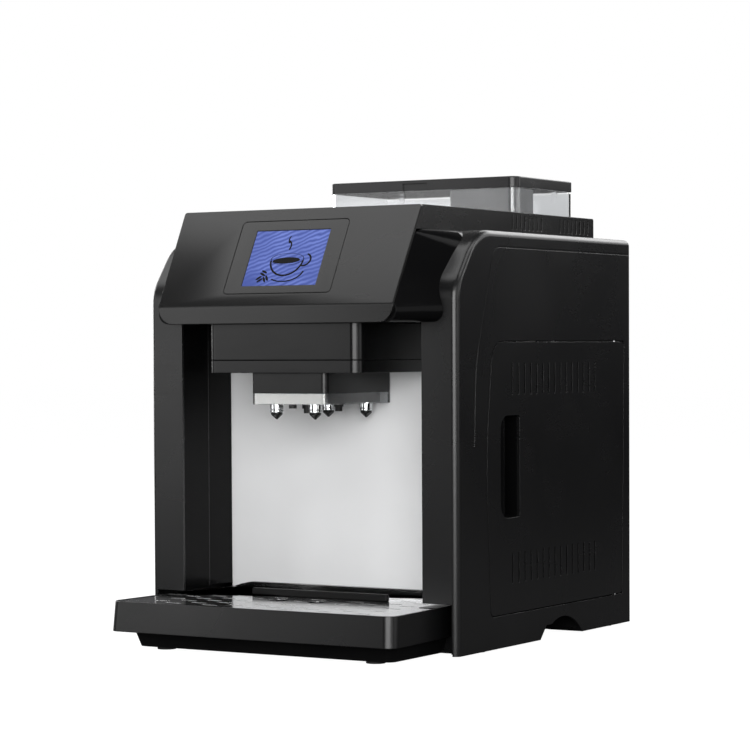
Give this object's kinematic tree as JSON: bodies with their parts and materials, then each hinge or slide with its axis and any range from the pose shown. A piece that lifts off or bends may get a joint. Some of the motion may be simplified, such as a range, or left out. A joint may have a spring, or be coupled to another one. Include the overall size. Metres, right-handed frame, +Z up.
{
  "type": "hot coffee vending machine",
  "caption": "Countertop hot coffee machine with slanted touch screen, open cup bay, drip tray, side service door, bean hopper with hinged lid and inner brewing works.",
  "frame": {"origin": "bottom centre of the bounding box, on the surface the machine stands on", "axes": "+Z up, front faces -Y, +X to the right as seen from the front"},
  "size_m": [0.31, 0.409, 0.4104],
  "materials": {
    "shell_black": "satin moulded black",
    "inner_black": "gloss black",
    "fascia_black": "satin charcoal",
    "housing_black": "satin",
    "tray_black": "satin",
    "chassis_black": "matte textured",
    "bezel_grey": "satin touch glass",
    "screen": "backlit liquid crystal",
    "splash_grey": "smooth light grey",
    "grid_steel": "polished stainless",
    "rail_black": "satin black",
    "clear_plastic": "clear polycarbonate",
    "smoke_plastic": "smoked grey",
    "lid_black": "smoked gloss",
    "manifold_black": "matte",
    "sleeve_chrome": "polished",
    "tip_black": "gloss",
    "rubber_black": "matte",
    "float_red": "satin red",
    "steel": "turned",
    "alloy": "cast",
    "motor_steel": "zinc grey",
    "white_plastic": "natural",
    "rear_metal": "powder coat",
    "trim_black": "moulded",
    "board_green": "lacquered circuit board",
    "inlet_brass": "plated"
  },
  "bodies": {
    "cabinet": {"base_chassis": "chassis_black", "bean_hopper": "clear_plastic", "boiler": "alloy", "boiler_bracket": "steel", "brew_chamber": "white_plastic", "brew_frame": "chassis_black", "brew_guide_rods": "steel", "brew_motor": "chassis_black", "control_board": "board_green", "control_fascia": "fascia_black", "display": "screen", "door_hinge_pins": "steel", "fan_frame": "chassis_black", "grinder_housing": "alloy", "grinder_motor": "motor_steel", "grinder_stand": "chassis_black", "grounds_bin": "chassis_black", "grounds_chute": "rail_black", "head_cover": "inner_black", "hoses": "white_plastic", "housing_band": "housing_black", "left_bay_wall": "inner_black", "left_side_shell": "shell_black", "nozzle_sleeves": "sleeve_chrome", "nozzle_tips": "tip_black", "powder_chamber": "smoke_plastic", "power_inlet": "trim_black", "power_supply": "motor_steel", "rear_panel": "rear_metal", "rear_screws": "steel", "right_bay_wall": "inner_black", "right_side_shell": "shell_black", "rubber_feet": "rubber_black", "splash_plate": "splash_grey", "spout_block": "housing_black", "spout_housing": "housing_black", "spout_manifold": "manifold_black", "spout_skirt": "clear_plastic", "tank_cap": "smoke_plastic", "top_cover": "fascia_black", "touch_bezel": "bezel_grey", "upper_burr": "steel", "water_inlet": "inlet_brass", "water_pump": "motor_steel", "water_spouts": "manifold_black", "water_tank": "clear_plastic"},
    "drip_tray": {"drip_tray": "tray_black"},
    "drip_grid": {"drip_grid": "grid_steel", "cup_rail": "rail_black"},
    "tray_float": {"tray_float": "float_red"},
    "side_door": {"side_door": "shell_black", "door_handle_cup": "inner_black"},
    "hopper_lid": {"hopper_lid": "lid_black"},
    "bean_gate": {"bean_gate": "rail_black"},
    "turning_burr": {"lower_burr": "steel"},
    "lead_screw": {"brew_lead_screw": "steel"},
    "brew_piston": {"brew_piston": "white_plastic"},
    "fan_rotor": {"fan_rotor": "trim_black"},
    "rocker": {"rocker_switch": "trim_black"}
  },
  "joints": [
    {"name": "drip_tray_slide", "type": "slide", "parent": "cabinet", "child": "drip_tray", "axis": [0, -1, 0], "range_m": [0, 0.16]},
    {"name": "drip_grid_lift", "type": "slide", "parent": "drip_tray", "child": "drip_grid", "axis": [0, 0, 1], "range_m": [0, 0.05]},
    {"name": "tray_float_rise", "type": "slide", "parent": "drip_tray", "child": "tray_float", "axis": [0, 0, 1], "range_m": [0, 0.008]},
    {"name": "side_door_hinge", "type": "hinge", "parent": "cabinet", "child": "side_door", "pos_m": [0.151, 0.1765, 0.146], "axis": [0, 0, 1], "range_deg": [0, 100]},
    {"name": "hopper_lid_hinge", "type": "hinge", "parent": "cabinet", "child": "hopper_lid", "pos_m": [0, 0.1899, 0.4026], "axis": [-1, 0, 0], "range_deg": [0, 85]},
    {"name": "bean_gate_slide", "type": "slide", "parent": "cabinet", "child": "bean_gate", "axis": [0, -1, 0], "range_m": [0, 0.032]},
    {"name": "burr_spin", "type": "hinge", "parent": "cabinet", "child": "turning_burr", "pos_m": [-0.01, 0.1365, 0.29], "axis": [0, 0, 1], "continuous": true},
    {"name": "lead_screw_turn", "type": "hinge", "parent": "cabinet", "child": "lead_screw", "pos_m": [0.088, 0.1235, 0.2], "axis": [0, 0, 1], "range_deg": [0, 1625]},
    {"name": "brew_piston_slide", "type": "slide", "parent": "cabinet", "child": "brew_piston", "axis": [0, 0, -1], "range_m": [0, 0.036]},
    {"name": "fan_spin", "type": "hinge", "parent": "cabinet", "child": "fan_rotor", "pos_m": [-0.06, 0.1925, 0.296], "axis": [0, 1, 0], "continuous": true},
    {"name": "rocker_tilt", "type": "hinge", "parent": "cabinet", "child": "rocker", "pos_m": [0.104, 0.1975, 0.104], "axis": [-1, 0, 0], "range_deg": [0, 11]}
  ],
  "couplings": [
    {"joint": "lead_screw_turn", "follows": "brew_piston_slide", "rad_per_m": 785.4}
  ]
}
